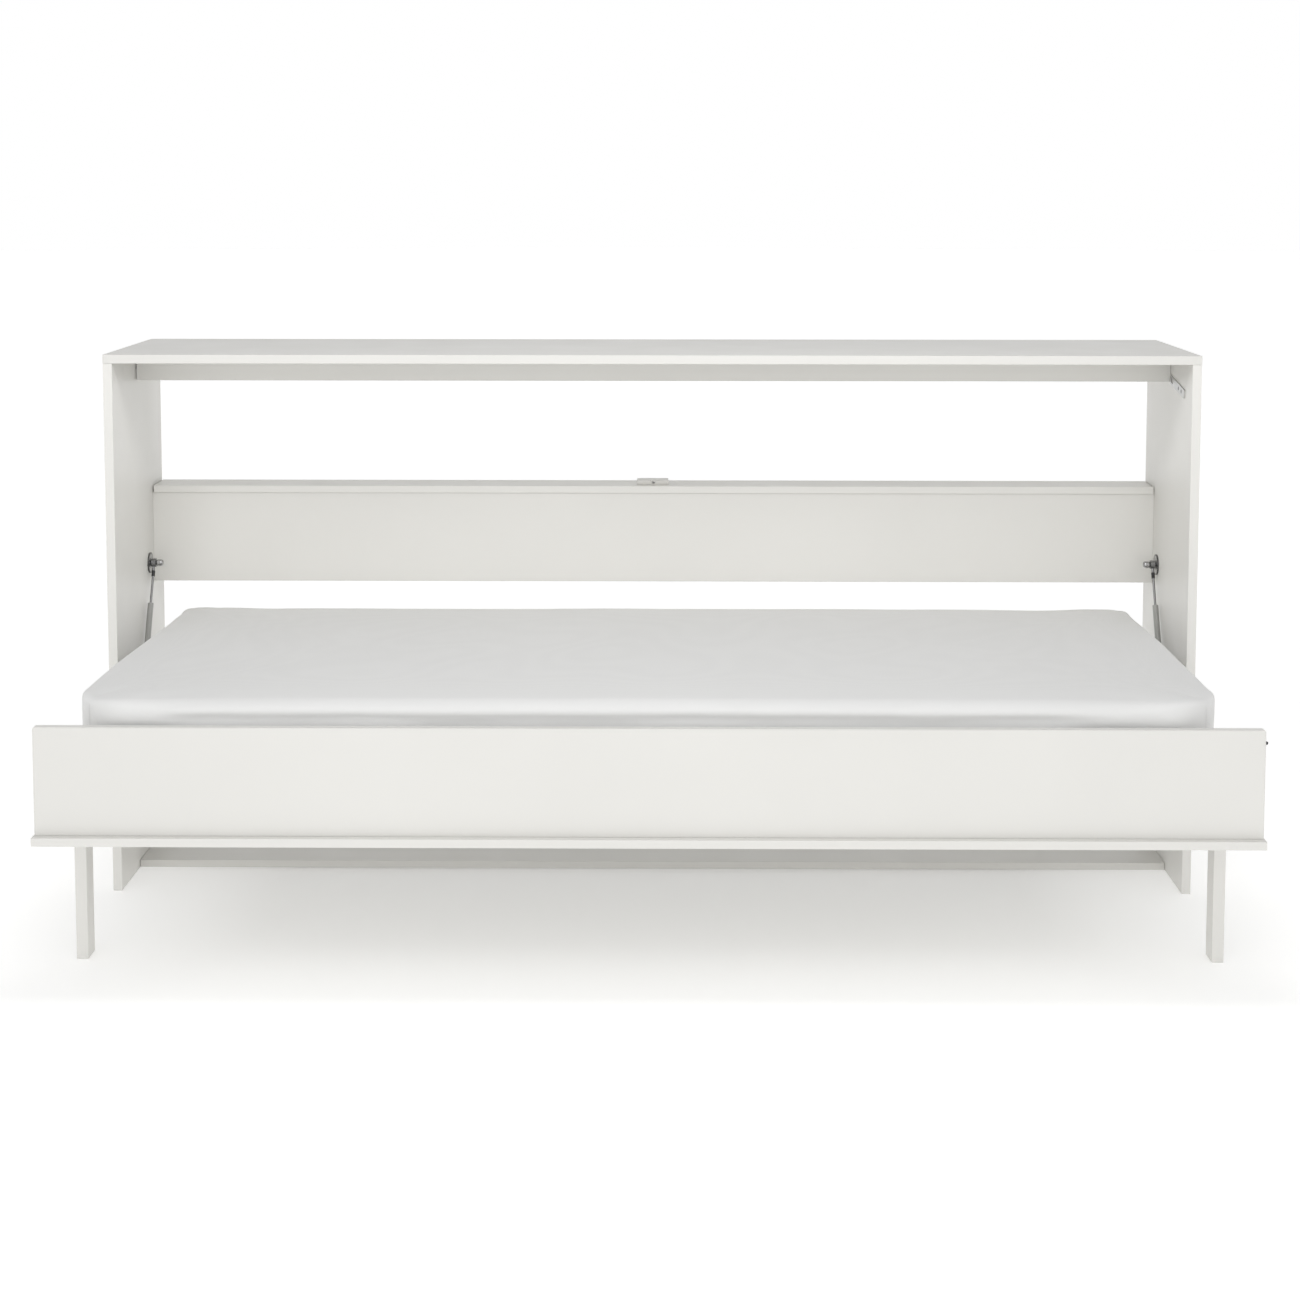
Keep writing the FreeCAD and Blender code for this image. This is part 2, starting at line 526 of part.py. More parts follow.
node("leg_hinge_bed_leaves", group("leg_hinge_bed_leaves", bed_leaves))
node("leg_hinge_pins", group("leg_hinge_pins", hinge_pins))
node("leg_hinge_bed_screws", group("leg_hinge_bed_screws", leaf_screws_bed))

blank = board("panel_blank", "2 * panel_half", "panel_reach + panel_rear", "thin_board", "-panel_half",
              "front_plane - panel_reach", "panel_under", "edge_radius")
node("bed_panel", cut("bed_panel", blank, leaf_seats_bed
                      + dowel_tools("bdowel_front", "bdowel_rear", "bdowel_rib", "bdowel_end")))

housing_blank = rod("housing_blank", "housing_radius", "rail_half - housing_root", "housing_root",
                    "front_plane - catch_forward", "catch_up", "+X")
housing_seat = rod("housing_seat", "housing_radius", "rail_half - housing_root + 1", "housing_root",
                   "front_plane - catch_forward", "catch_up", "+X")
housing_bore = rod("housing_bore", "catch_bore", "rail_half - housing_root + 4", "housing_root + 2",
                   "front_plane - catch_forward", "catch_up", "+X")
node("latch_housing", cut("latch_housing", housing_blank, [housing_bore]))
pin_blank = rod("latch_pin_blank", "catch_radius", "catch_tip - catch_root", "catch_root",
                "front_plane - catch_forward", "catch_up", "+X")
doc.recompute()
latch_pin = add("Part::Fillet", "latch_pin")
latch_pin.Base = pin_blank
latch_pin.Edges = [(i + 1, 2.6, 2.6) for i, e in enumerate(pin_blank.Shape.Edges)
                   if e.Curve.TypeId == "Part::GeomCircle" and abs(e.CenterOfMass.x - num("catch_tip")) < 1e-3]
node("latch_pin", latch_pin)

blank = board("rail_blank", "2 * rail_half", "board_thick", "rail_tall", "-rail_half",
              "front_plane - panel_reach + rail_lip", "panel_under + thin_board", "edge_radius", tops="rail_corner")
node("front_rail", cut("front_rail", blank, [housing_seat] + dowel_tools("bdowel_front", "bdowel_cf")))
blank = board("rear_rail_blank", "2 * end_board_outer", "board_thick", "rear_rail_tall", "-end_board_outer",
              "front_plane + rear_rail_front", "panel_under + thin_board")
node("rear_rail", cut("rear_rail", blank, dowel_tools("bdowel_rear", "bdowel_cr")))

# bushes, lower strut brackets and end boards
bracket_screws, bracket_seats = [], []
for side_name, side in SIDES:
    tag = side_name[0]
    way = "+X" if side > 0 else "-X"
    sleeve = rod("bush_sleeve_" + tag, "bush_outer", "board_thick + bush_flange_thick",
                 at(side, "end_board_outer - board_thick"), "front_plane + pivot_back", "pivot_up", way)
    collar = rod("bush_collar_" + tag, "bush_flange", "bush_flange_thick", at(side, "end_board_outer"),
                 "front_plane + pivot_back", "pivot_up", way)
    bore = rod("bush_bore_" + tag, "pivot_bore", "board_thick + bush_flange_thick + 4",
               at(side, "end_board_outer - board_thick - 2"), "front_plane + pivot_back", "pivot_up", way)
    node("pivot_bush_" + side_name, cut("pivot_bush_" + side_name,
                                        fuse("bush_blank_" + tag, [sleeve, collar]), [bore]))
    bush_seat = rod("bush_seat_" + tag, "bush_outer", "board_thick + 4",
                    at(side, "end_board_outer - board_thick - 2"), "front_plane + pivot_back", "pivot_up", way)
    seats = []
    for k, dy in enumerate((-18.0, 18.0)):
        s, seat = screw("bracket_screw_%s%d" % (tag, k), 13.0, at(side, "end_board_outer + bracket_thick"),
                        "front_plane + strut_low_back + %g" % dy, "strut_low_up", "-X" if side > 0 else "+X")
        bracket_screws.append(s)
        seats.append(seat)
    plate = box("bracket_plate_" + tag, "bracket_thick", "bracket_deep", "bracket_tall", 0, 0, 0)
    place(plate, "end_board_outer" if side > 0 else "-end_board_outer - bracket_thick",
          "front_plane + strut_low_back - bracket_deep / 2", "strut_low_up - bracket_tall / 2")
    stud = rod("bracket_stud_" + tag, "stud_radius", "low_stud_tip - end_board_outer - 1",
               at(side, "end_board_outer + 1"), "front_plane + strut_low_back", "strut_low_up", way)
    node("strut_bracket_" + side_name, cut("strut_bracket_" + side_name,
                                           fuse("bracket_blank_" + tag, [plate, stud]), seats))
    blank = board("end_blank_" + tag, "board_thick", "end_board_front + rear_rail_front", "end_board_tall",
                  "end_board_outer - board_thick" if side > 0 else "-end_board_outer",
                  "front_plane - end_board_front", "panel_under + thin_board")
    node("end_board_" + side_name, cut("end_board_" + side_name, blank, [bush_seat] + seats
                                       + dowel_tools("bdowel_end_" + tag, "bdowel_cf_" + tag, "bdowel_cr_" + tag)))
node("strut_bracket_screws", group("strut_bracket_screws", bracket_screws))

# slats on their battens, with a rib under the middle
battens = [board("batten_front", "2 * batten_half", "batten_wide", "batten_top - panel_under - thin_board",
                 "-batten_half", "front_plane - end_board_front", "panel_under + thin_board"),
           board("batten_rear", "2 * batten_half", "batten_wide", "batten_top - panel_under - thin_board",
                 "-batten_half", "front_plane + rear_rail_front - batten_wide", "panel_under + thin_board")]
node("slat_battens", group("slat_battens", battens))
blank = board("rib_blank", "2 * (end_board_outer - board_thick)", "board_thick",
              "batten_top - panel_under - thin_board", "board_thick - end_board_outer",
              "front_plane - rib_centre - board_thick / 2", "panel_under + thin_board")
node("centre_rib", cut("centre_rib", blank, dowel_tools("bdowel_rib")))
slats = [board("slat_%02d" % k, "slat_wide", "slat_front + slat_rear", "slat_thick",
               "(%g) * slat_pitch - slat_wide / 2" % (k - 6.5), "front_plane - slat_front", "slat_under")
         for k in range(14)]
node("slats", group("slats", slats))

node("mattress", board("mattress", "2 * mattress_half", "mattress_front + mattress_rear", "mattress_thick",
                       "-mattress_half", "front_plane - mattress_front", "mattress_under",
                       "mattress_edge", posts="mattress_corner"))

# --------------------------------------------------------------- the gas struts
# Each is made hanging straight down from its upper stud, then leaned forward.
lean = num("strut_lean")


def leaned(obj, side):
    obj.Placement = FreeCAD.Placement(Vec(0, 0, 0), Rot(Vec(1, 0, 0), -lean))
    bind(obj, "Placement.Base.x", at(side, "strut_plane"))
    bind(obj, "Placement.Base.y", "front_plane + strut_back")
    bind(obj, "Placement.Base.z", "strut_up")
    return obj


for side_name, side in SIDES:
    tag = side_name[0]
    eye = rod("rod_eye_" + tag, "eye_radius", "eye_thick", "-eye_thick / 2", 0.0, 0.0, "+X")
    bar = rod("rod_bar_" + tag, "rod_radius", "rod_end - 6", 0.0, 0.0, -6.0, "-Z")
    piston = rod("rod_piston_" + tag, "piston_radius", "piston_thick", 0.0, 0.0, "piston_thick - rod_end", "-Z")
    bore = rod("rod_bore_" + tag, "stud_bore", "eye_thick + 4", "-eye_thick / 2 - 2", 0.0, 0.0, "+X")
    node("strut_rod_" + side_name, leaned(cut("strut_rod_" + side_name,
                                              fuse("rod_blank_" + tag, [eye, bar, piston]), [bore]), side))
    ring = rod("collar_blank_" + tag, "collar_radius", "collar_tall", 0.0, 0.0, "-collar_start", "-Z")
    hole = rod("collar_hole_" + tag, "rod_radius", "collar_tall + 4", 0.0, 0.0, "2 - collar_start", "-Z")
    node("strut_collar_" + side_name, leaned(cut("strut_collar_" + side_name, ring, [hole]), side))
    outer = rod("tube_outer_" + tag, "tube_radius", "tube_end - tube_start", 0.0, 0.0, "-tube_start", "-Z")
    neck = rod("tube_neck_" + tag, 5.0, "strut_length - tube_end - 5", 0.0, 0.0, "1 - tube_end", "-Z")
    low = rod("tube_eye_" + tag, "eye_radius", "low_eye_thick", "-low_eye_thick / 2", 0.0, "-strut_length", "+X")
    cavity = rod("tube_cavity_" + tag, "tube_bore", "tube_end - tube_start - guide_thick - tube_cap", 0.0, 0.0,
                 "-tube_start - guide_thick", "-Z")
    guide = rod("tube_guide_" + tag, "guide_bore", "guide_thick + 4", 0.0, 0.0, "2 - tube_start", "-Z")
    low_bore = rod("tube_eye_bore_" + tag, "low_eye_bore", "low_eye_thick + 4", "-low_eye_thick / 2 - 2", 0.0,
                   "-strut_length", "+X")
    node("strut_cylinder_" + side_name, leaned(cut("strut_cylinder_" + side_name,
                                                   fuse("tube_blank_" + tag, [outer, neck, low]),
                                                   [cavity, guide, low_bore]), side))

# ------------------------------------------------------------------- write out
doc.recompute()
faults = [o.Label for o in doc.Objects if "Invalid" in o.State or "Error" in o.State]
if faults:
    raise RuntimeError("failed objects: %s" % faults)
os.makedirs("parts", exist_ok=True)
for name in sorted(NODES):
    shape = NODES[name].Shape
    if shape.isNull() or not shape.isValid() or not shape.Solids:
        raise RuntimeError("bad shape: %s" % name)
    box_ = shape.BoundBox
    print("%-26s solids %3d  vol %12.1f  X %8.1f %8.1f  Y %8.1f %8.1f  Z %8.1f %8.1f" % (
        name, len(shape.Solids), shape.Volume, box_.XMin, box_.XMax, box_.YMin, box_.YMax, box_.ZMin, box_.ZMax))
    shape.exportStep("parts/%s.step" % name)
print(len(NODES), "nodes")
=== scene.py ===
import math

import bmesh
import bpy
import numpy as np
from mathutils import Matrix, Vector


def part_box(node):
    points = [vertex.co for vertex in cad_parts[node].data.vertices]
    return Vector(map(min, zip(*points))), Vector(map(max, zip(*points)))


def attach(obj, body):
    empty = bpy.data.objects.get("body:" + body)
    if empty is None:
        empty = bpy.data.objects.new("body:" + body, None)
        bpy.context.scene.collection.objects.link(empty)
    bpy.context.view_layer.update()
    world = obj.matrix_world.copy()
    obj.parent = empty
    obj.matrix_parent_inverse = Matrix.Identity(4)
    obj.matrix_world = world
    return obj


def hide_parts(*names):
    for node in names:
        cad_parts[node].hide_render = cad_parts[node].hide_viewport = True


# The open cabinet bed: packed boards and hardware get their finishes here, and
# the mattress with its fitted sheet is modelled.  Metres, same frame as the CAD.

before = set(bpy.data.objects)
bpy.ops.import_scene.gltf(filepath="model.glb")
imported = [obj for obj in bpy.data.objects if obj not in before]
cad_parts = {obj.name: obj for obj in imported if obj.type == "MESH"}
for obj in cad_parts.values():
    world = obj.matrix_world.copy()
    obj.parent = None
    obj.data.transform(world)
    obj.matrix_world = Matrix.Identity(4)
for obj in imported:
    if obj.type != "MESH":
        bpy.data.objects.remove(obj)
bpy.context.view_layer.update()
scene = bpy.context.scene
FRONT = 0.1185            # the cabinet's front plane


# --------------------------------------------------------------------- camera
def set_camera():
    f, side = 2405.2145, 1300.0
    pitch, yaw, roll = 0.0938, -0.0084, -0.0007
    cx, cy = 650.7653, 396.5
    place = Vector((0.0383607, -4.6849833 + FRONT, 1.4347729))
    ahead = Vector((math.sin(yaw) * math.cos(pitch), math.cos(yaw) * math.cos(pitch), -math.sin(pitch)))
    up = Vector((math.sin(yaw) * math.sin(pitch), math.cos(yaw) * math.sin(pitch), math.cos(pitch)))
    right = Vector((math.cos(yaw), -math.sin(yaw), 0.0))
    right, up = (right * math.cos(roll) - up * math.sin(roll), right * math.sin(roll) + up * math.cos(roll))
    cam = bpy.data.cameras.new("photo_camera")
    cam.sensor_fit = "HORIZONTAL"
    cam.sensor_width = 36.0
    cam.lens = f * 36.0 / side
    cam.shift_x = (side / 2 - cx) / side
    cam.shift_y = (cy - side / 2) / side
    cam.clip_start, cam.clip_end = 0.05, 200.0
    obj = bpy.data.objects.new("photo_camera", cam)
    scene.collection.objects.link(obj)
    back = -ahead
    obj.matrix_world = Matrix(((right.x, up.x, back.x, place.x), (right.y, up.y, back.y, place.y),
                               (right.z, up.z, back.z, place.z), (0, 0, 0, 1)))
    scene.camera = obj


set_camera()


# ------------------------------------------------------------------ materials
class Nodes:
    """Short names for building one material's node tree."""

    def __init__(self, name):
        self.mat = bpy.data.materials.new(name)
        self.mat.use_nodes = True
        self.tree = self.mat.node_tree
        self.bsdf = self.tree.nodes["Principled BSDF"]
        self.where = self.tree.nodes.new("ShaderNodeTexCoord").outputs["Object"]

    def link(self, a, b):
        self.tree.links.new(a, b)

    def put(self, socket, value):
        if hasattr(value, "is_linked") or hasattr(value, "links"):
            self.link(value, socket)
        elif value is not None:
            socket.default_value = value

    def stretch(self, scale):
        m = self.tree.nodes.new("ShaderNodeMapping")
        m.inputs["Scale"].default_value = scale
        self.link(self.where, m.inputs["Vector"])
        return m.outputs["Vector"]

    def noise(self, scale, detail=3.0, rough=0.5, vector=None, distort=0.0):
        n = self.tree.nodes.new("ShaderNodeTexNoise")
        n.inputs["Scale"].default_value = scale
        n.inputs["Detail"].default_value = detail
        n.inputs["Roughness"].default_value = rough
        n.inputs["Distortion"].default_value = distort
        self.link(vector if vector is not None else self.where, n.inputs["Vector"])
        return n.outputs["Fac"]

    def cells(self, scale, vector=None, feature="F1", smooth=0.0):
        n = self.tree.nodes.new("ShaderNodeTexVoronoi")
        n.feature = feature
        n.inputs["Scale"].default_value = scale
        if feature == "SMOOTH_F1":
            n.inputs["Smoothness"].default_value = smooth
        self.link(vector if vector is not None else self.where, n.inputs["Vector"])
        return n.outputs["Distance"]

    def wave(self, scale, way="X", profile="SIN", distort=0.0, detail=0.0, vector=None):
        n = self.tree.nodes.new("ShaderNodeTexWave")
        n.bands_direction = way
        n.wave_profile = profile
        n.inputs["Scale"].default_value = scale
        n.inputs["Distortion"].default_value = distort
        n.inputs["Detail"].default_value = detail
        self.link(vector if vector is not None else self.where, n.inputs["Vector"])
        return n.outputs["Fac"]

    def ramp(self, value, stops, smooth=False):
        n = self.tree.nodes.new("ShaderNodeValToRGB")
        n.color_ramp.interpolation = "EASE" if smooth else "LINEAR"
        marks = n.color_ramp.elements
        while len(marks) > 1:
            marks.remove(marks[-1])
        for i, (at, colour) in enumerate(stops):
            mark = marks[0] if i == 0 else marks.new(at)
            mark.position = at
            mark.color = tuple(colour) + (1.0,) if len(colour) == 3 else tuple(colour)
        self.link(value, n.inputs["Fac"])
        return n.outputs["Color"]

    def math(self, kind, a, b=None, c=None, clamp=False):
        n = self.tree.nodes.new("ShaderNodeMath")
        n.operation = kind
        n.use_clamp = clamp
        self.put(n.inputs[0], a)
        if b is not None:
            self.put(n.inputs[1], b)
        if c is not None:
            self.put(n.inputs[2], c)
        return n.outputs[0]

    def span(self, value, a, b, low, high):
        n = self.tree.nodes.new("ShaderNodeMapRange")
        n.clamp = True
        self.link(value, n.inputs["Value"])
        n.inputs["From Min"].default_value = a
        n.inputs["From Max"].default_value = b
        n.inputs["To Min"].default_value = low
        n.inputs["To Max"].default_value = high
        return n.outputs["Result"]

    def mix(self, fac, a, b, kind="MIX"):
        n = self.tree.nodes.new("ShaderNodeMix")
        n.data_type = "RGBA"
        n.blend_type = kind
        n.clamp_factor = True
        self.put(n.inputs["Factor"], fac)
        for socket, v in ((n.inputs[6], a), (n.inputs[7], b)):
            if isinstance(v, (tuple, list)):
                socket.default_value = tuple(v) + (1.0,) if len(v) == 3 else tuple(v)
            else:
                self.link(v, socket)
        return n.outputs[2]

    def xyz(self):
        n = self.tree.nodes.new("ShaderNodeSeparateXYZ")
        self.link(self.where, n.inputs[0])
        return n.outputs[0], n.outputs[1], n.outputs[2]

    def bump(self, height, distance, strength=1.0, under=None):
        n = self.tree.nodes.new("ShaderNodeBump")
        n.inputs["Strength"].default_value = strength
        n.inputs["Distance"].default_value = distance
        self.link(height, n.inputs["Height"])
        if under is not None:
            self.link(under, n.inputs["Normal"])
        return n.outputs["Normal"]

    def out(self, colour=None, rough=None, normal=None, **fixed):
        if colour is not None:
            self.link(colour, self.bsdf.inputs["Base Color"])
        if rough is not None:
            self.put(self.bsdf.inputs["Roughness"], rough)
        if normal is not None:
            self.link(normal, self.bsdf.inputs["Normal"])
        for key, value in fixed.items():
            self.bsdf.inputs[key.replace("_", " ")].default_value = value
        return self.mat


def dress(node, mat):
    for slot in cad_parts[node].material_slots:
        slot.material = mat


WHITE = (0.772, 0.763, 0.732)


def laminate(node, tone=WHITE, thin="y", seed=0.0, darker_near_floor=False, butted=False):
    """White melamine board: fine pearl texture, a hair-line where the edging meets the face."""
    n = Nodes("laminate_" + node)
    lo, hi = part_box(node)
    x, y, z = n.xyz()
    spans = {}
    for axis, value in zip("xyz", (x, y, z)):
        i = "xyz".index(axis)
        middle, half = (lo[i] + hi[i]) / 2, (hi[i] - lo[i]) / 2
        off = n.math("ABSOLUTE", n.math("SUBTRACT", value, middle))
        spans[axis] = n.math("SUBTRACT", half, off)
    across = [spans[a] for a in "xyz" if a != thin and not (butted and a == "x")]
    inward = across[0] if len(across) == 1 else n.math("MINIMUM", across[0], across[1])
    gap = n.math("ABSOLUTE", n.math("SUBTRACT", inward, 0.00125))
    line = n.span(gap, 0.0001, 0.0004, 1.0, 0.0)
    band = n.span(inward, 0.0009, 0.0012, 1.0, 0.0)
    # press-plate texture and slow variation
    pearl = n.cells(620.0, feature="SMOOTH_F1", smooth=0.7)
    fine = n.noise(1700.0, 2.0, 0.6)
    slow = n.noise(2.3 + seed * 0.1, 2.0, 0.5)
    handled = n.noise(9.0 + seed, 4.0, 0.6)
    paler = tuple(min(1.0, c * 1.012) for c in tone)
    darker = tuple(c * 0.985 for c in tone)
    colour = n.mix(n.span(slow, 0.3, 0.7, 0.0, 1.0), darker, paler)
    colour = n.mix(n.math("MULTIPLY", line, 0.30), colour, tuple(c * 0.62 for c in tone))
    colour = n.mix(n.math("MULTIPLY", band, 0.35), colour, tuple(min(1.0, c * 1.03) for c in tone))
    if darker_near_floor:
        # darker patches towards the bottom, within 14 mm of the floor
        low = n.span(z, 0.0, 0.014, 0.30, 0.0)
        patch = n.span(n.noise(60.0, 4.0, 0.7), 0.40, 0.75, 0.0, 1.0)
        colour = n.mix(n.math("MULTIPLY", low, patch), colour, tuple(c * 0.55 for c in tone))
    rough = n.math("ADD", n.span(handled, 0.25, 0.8, 0.34, 0.47), n.math("MULTIPLY", band, -0.06))
    normal = n.bump(pearl, 0.00006, 0.55)
    normal = n.bump(fine, 0.00002, 0.4, under=normal)
    normal = n.bump(line, -0.0002, 0.5, under=normal)
    return n.out(colour, rough, normal, IOR=1.5)


def metal(name, tone, low, high, scale=(1, 1, 1), grain=900.0, depth=0.00002, mottled=0.05, dark=False):
    n = Nodes(name)
    vector = n.stretch(scale)
    lines = n.noise(grain, 3.0, 0.6, vector=vector)
    slow = n.noise(40.0, 3.0, 0.55)
    colour = n.mix(n.span(slow, 0.3, 0.7, 0.0, 1.0), tuple(c * (1 - mottled) for c in tone), tone)
    colour = n.mix(n.span(lines, 0.4, 0.6, 0.0, 0.25), colour, tuple(c * 0.8 for c in tone))
    rough = n.span(lines, 0.3, 0.7, low, high)
    normal = n.bump(lines, depth, 0.6)
    mat = n.out(colour, rough, normal)
    n.bsdf.inputs["Metallic"].default_value = 0.85 if dark else 1.0
    return mat


def timber(node, pale, deep, way="y", seed=0.0):
    """Planed softwood with its grain along one axis."""
    n = Nodes("timber_" + node)
    scale = {"x": (1.6, 34.0, 34.0), "y": (34.0, 1.6, 34.0)}[way]
    vector = n.stretch(scale)
    rings = n.wave(0.55, "X" if way == "y" else "Y", "SAW", 7.0 + seed, 3.0, vector=vector)
    pores = n.noise(9.0, 4.0, 0.65, vector=n.stretch(tuple(s * 9 for s in scale)))
    drift = n.noise(1.7 + seed, 3.0, 0.5)
    colour = n.mix(n.span(rings, 0.15, 0.95, 0.0, 0.75), pale, deep)
    colour = n.mix(n.span(pores, 0.48, 0.72, 0.0, 0.35), colour, tuple(c * 0.72 for c in deep))
    colour = n.mix(n.span(drift, 0.3, 0.7, 0.0, 0.35), colour, tuple(min(1.0, c * 1.08) for c in pale))
    rough = n.span(pores, 0.3, 0.7, 0.50, 0.66)
    normal = n.bump(pores, 0.00012, 0.5)
    normal = n.bump(rings, 0.00010, 0.25, under=normal)
    return n.out(colour, rough, normal)


def moulded(name, tone, low, high, grain=900.0):
    n = Nodes(name)
    fine = n.noise(grain, 3.0, 0.6)
    slow = n.noise(60.0, 2.0, 0.5)
    colour = n.mix(n.span(slow, 0.3, 0.7, 0.0, 1.0), tuple(c * 0.92 for c in tone), tone)
    return n.out(colour, n.span(fine, 0.3, 0.7, low, high), n.bump(fine, 0.00003, 0.6), IOR=1.47)


for node, thin, seed in (("side_panel_left", "x", 0.1), ("side_panel_right", "x", 0.7), ("top_panel", "z", 1.3),
                         ("bottom_board", "z", 1.9), ("stop_rail", "y", 2.3), ("middle_board", "y", 2.9),
                         ("ledge_board", "z", 3.1), ("wall_anchor_block", "z", 3.7), ("bed_panel", "z", 4.1),
                         ("front_rail", "y", 4.9), ("rear_rail", "y", 5.3), ("end_board_left", "x", 5.9),
                         ("end_board_right", "x", 6.1), ("centre_rib", "y", 6.7), ("leg_left", "x", 7.1),
                         ("leg_right", "x", 7.9)):
    # each board's white is scaled a little lighter or darker: painted light and shade for how much light reaches it
    shade = {"top_panel": 0.93, "front_rail": 0.96, "bed_panel": 0.94, "bottom_board": 0.97, "middle_board": 1.08,
             "ledge_board": 1.08, "leg_left": 0.95, "leg_right": 0.95}.get(node, 1.0)
    dress(node, laminate(node, tuple(c * shade for c in WHITE), thin, seed, darker_near_floor=node.startswith(("side_panel", "leg_")),
                         butted=node in ("middle_board", "stop_rail", "bottom_board", "ledge_board")))

dress("slats", timber("slats", (0.74, 0.60, 0.42), (0.60, 0.44, 0.27), "y", 0.3))
dress("slat_battens", timber("slat_battens", (0.72, 0.58, 0.40), (0.58, 0.42, 0.26), "x", 1.1))
dress("bed_dowels", timber("bed_dowels", (0.72, 0.56, 0.38), (0.60, 0.44, 0.28), "y", 2.1))
dress("cabinet_dowels", timber("cabinet_dowels", (0.72, 0.56, 0.38), (0.60, 0.44, 0.28), "y", 2.7))

zinc = metal("zinc_plate", (0.66, 0.66, 0.67), 0.24, 0.42, (1, 1, 1), 420.0, 0.00002, 0.10)
turned = metal("turned_steel", (0.56, 0.56, 0.57), 0.16, 0.34, (1, 9, 9), 300.0, 0.00001, 0.06)
brushed = metal("brushed_plate", (0.62, 0.62, 0.61), 0.30, 0.46, (8, 1, 26), 90.0, 0.00003, 0.10)
oxide = metal("dark_oxide", (0.055, 0.055, 0.06), 0.32, 0.50, (1, 1, 1), 700.0, 0.00003, 0.20, dark=True)
nitrided = metal("nitrided_rod", (0.26, 0.26, 0.262), 0.26, 0.38, (30, 30, 1), 60.0, 0.000005, 0.05, dark=True)
cast = metal("cast_zinc", (0.50, 0.51, 0.52), 0.38, 0.60, (1, 1, 1), 260.0, 0.00008, 0.12)

for node in ("pivot_screws", "strut_mount_screws", "strut_bracket_screws", "leg_hinge_bed_leaves", "leg_hinge_pins",
             "leg_hinge_bed_screws", "leg_hinge_leaf_left", "leg_hinge_leaf_right", "leg_hinge_screws_left",
             "leg_hinge_screws_right", "wall_anchor_screws", "cam_bolts", "strut_bracket_left", "strut_bracket_right"):
    dress(node, zinc)
for node in ("pivot_stud_left", "pivot_stud_right", "latch_housing"):
    dress(node, turned)


def mount_steel(node, side):
    """Turned steel ball mount: brighter ball and plate, with painted shade darkening the neck, the plate's rim, a ring
    on the plate and round the ball.
    """
    n = Nodes("mount_" + node)
    x, y, z = n.xyz()
    reach = n.math("MULTIPLY", x, float(side))
    dy, dz = n.math("SUBTRACT", y, 0.4245), n.math("SUBTRACT", z, 0.613)
    r = n.math("SQRT", n.math("ADD", n.math("MULTIPLY", dy, dy), n.math("MULTIPLY", dz, dz)))
    turning = n.wave(260.0, "X", vector=n.stretch((1, 1, 1)))
    neck_shade = n.math("MULTIPLY", n.span(reach, 1.0400, 1.0412, 0.0, 1.0), n.span(r, 0.0072, 0.0078, 1.0, 0.0))
    rim = n.span(r, 0.0180, 0.0200, 0.0, 1.0)
    ring = n.math("MULTIPLY", n.span(n.math("ABSOLUTE", n.math("SUBTRACT", r, 0.0105)), 0.0004, 0.0012, 1.0, 0.0), 0.8)
    ball_outline_shade = n.math("MULTIPLY", n.span(n.math("ABSOLUTE", n.math("SUBTRACT", reach, 1.0345)), 0.0045, 0.0062, 0.0, 1.0),
                  n.span(r, 0.0040, 0.0060, 0.0, 1.0))
    # painted shade: the neck, the plate's rim, a ring on the plate and the outline round the ball go nearly black
    dark = n.math("MAXIMUM", n.math("MAXIMUM", neck_shade, n.math("MULTIPLY", ball_outline_shade, n.span(reach, 1.0418, 1.0424, 1.0, 0.0))),
                  n.math("MAXIMUM", rim, ring))
    stain = n.noise(180.0, 4.0, 0.6)
    colour = n.mix(n.span(stain, 0.3, 0.7, 0.0, 1.0), (0.42, 0.42, 0.42), (0.52, 0.52, 0.53))
    colour = n.mix(n.math("MULTIPLY", dark, 0.9), colour, (0.10, 0.10, 0.10))
    mat = n.out(colour, n.span(stain, 0.3, 0.7, 0.18, 0.34), n.bump(turning, 0.00002, 0.4))
    n.bsdf.inputs["Metallic"].default_value = 1.0
    return mat


dress("strut_mount_left", mount_steel("left", -1))
dress("strut_mount_right", mount_steel("right", 1))
dress("latch_strike_plate", brushed)
dress("latch_strike_screws", oxide)
dress("latch_pin", oxide)
dress("cam_locks", cast)
for side in ("left", "right"):
    dress("pivot_bush_" + side, moulded("bush_" + side, (0.74, 0.74, 0.71), 0.38, 0.52))
    dress("strut_collar_" + side, moulded("collar_" + side, (0.018, 0.018, 0.019), 0.35, 0.50))
    dress("strut_rod_" + side, nitrided)
    dress("strut_cylinder_" + side, moulded("strut_paint_" + side, (0.40, 0.40, 0.385), 0.30, 0.42, 500.0))


